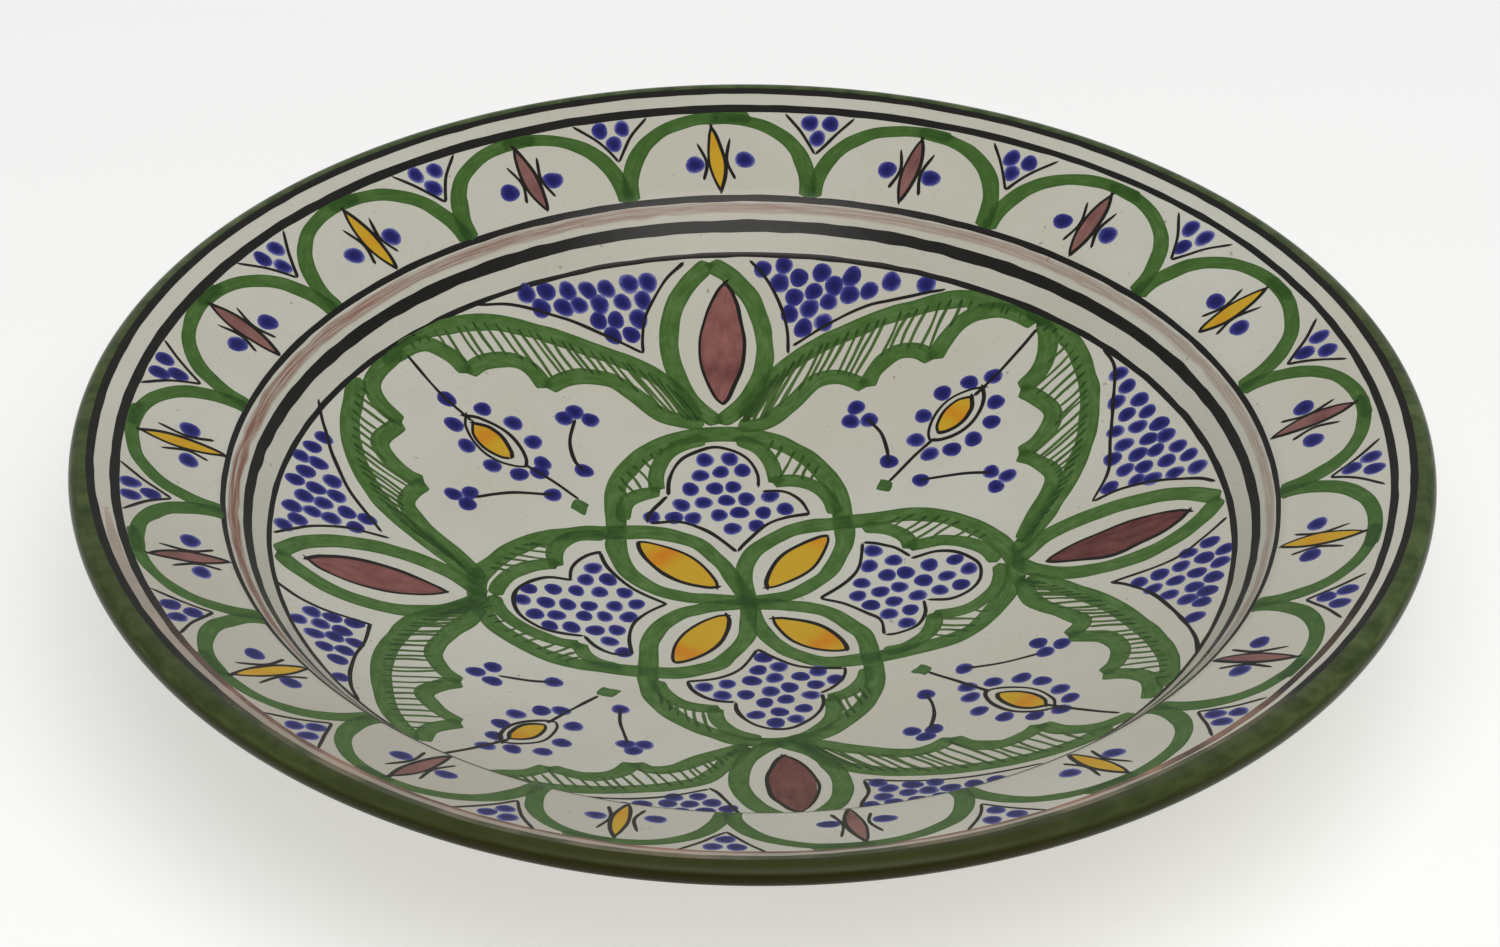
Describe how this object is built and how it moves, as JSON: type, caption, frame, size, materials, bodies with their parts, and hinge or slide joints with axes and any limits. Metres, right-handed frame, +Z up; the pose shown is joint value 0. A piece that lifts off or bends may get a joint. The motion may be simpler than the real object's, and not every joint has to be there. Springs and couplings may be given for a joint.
{
  "type": "painted ceramic plate",
  "caption": "Deep round dish with a flange, a rounded green lip and a turned foot ring, painted with arches round the rim and a four-part flower with leaves in the well.",
  "frame": {"origin": "middle of the foot ring's resting plane, on the dish's axis", "axes": "+Z up along the dish's axis; the pattern's four pointed ovals lie along +X, +Y, -X and -Y"},
  "size_m": [0.3459, 0.346, 0.0676],
  "materials": {
    "bare_clay": "fired, unglazed, matt",
    "cream_glaze": "satin gloss, faint specks",
    "green_glaze": "satin gloss",
    "green_paint": "brushed underglaze",
    "black_paint": "brushed underglaze",
    "blue_paint": "dotted underglaze",
    "yellow_paint": "brushed underglaze",
    "mauve_paint": "brushed underglaze",
    "brown_wash": "thin brushed wash"
  },
  "bodies": {
    "root": {"clay_body": "bare_clay", "face_glaze": "cream_glaze", "back_glaze": "cream_glaze", "lip_green_glaze": "green_glaze", "rim_line_outer": "black_paint", "rim_line_inner": "black_paint", "border_foot_line": "black_paint", "ridge_brown_wash": "brown_wash", "shoulder_black_band": "black_paint", "well_edge_line": "black_paint", "border_green_arches": "green_paint", "border_yellow_petals": "yellow_paint", "border_mauve_petals": "mauve_paint", "border_blue_dots": "blue_paint", "border_black_strokes": "black_paint", "quatrefoil_green_bands": "green_paint", "mandorla_green_bands": "green_paint", "leaf_green_bands": "green_paint", "leaf_green_hatching": "green_paint", "green_buds": "green_paint", "quatrefoil_yellow_petals": "yellow_paint", "leaf_yellow_almonds": "yellow_paint", "mandorla_mauve_almonds": "mauve_paint", "well_blue_dots": "blue_paint", "well_black_strokes": "black_paint"}
  },
  "joints": []
}
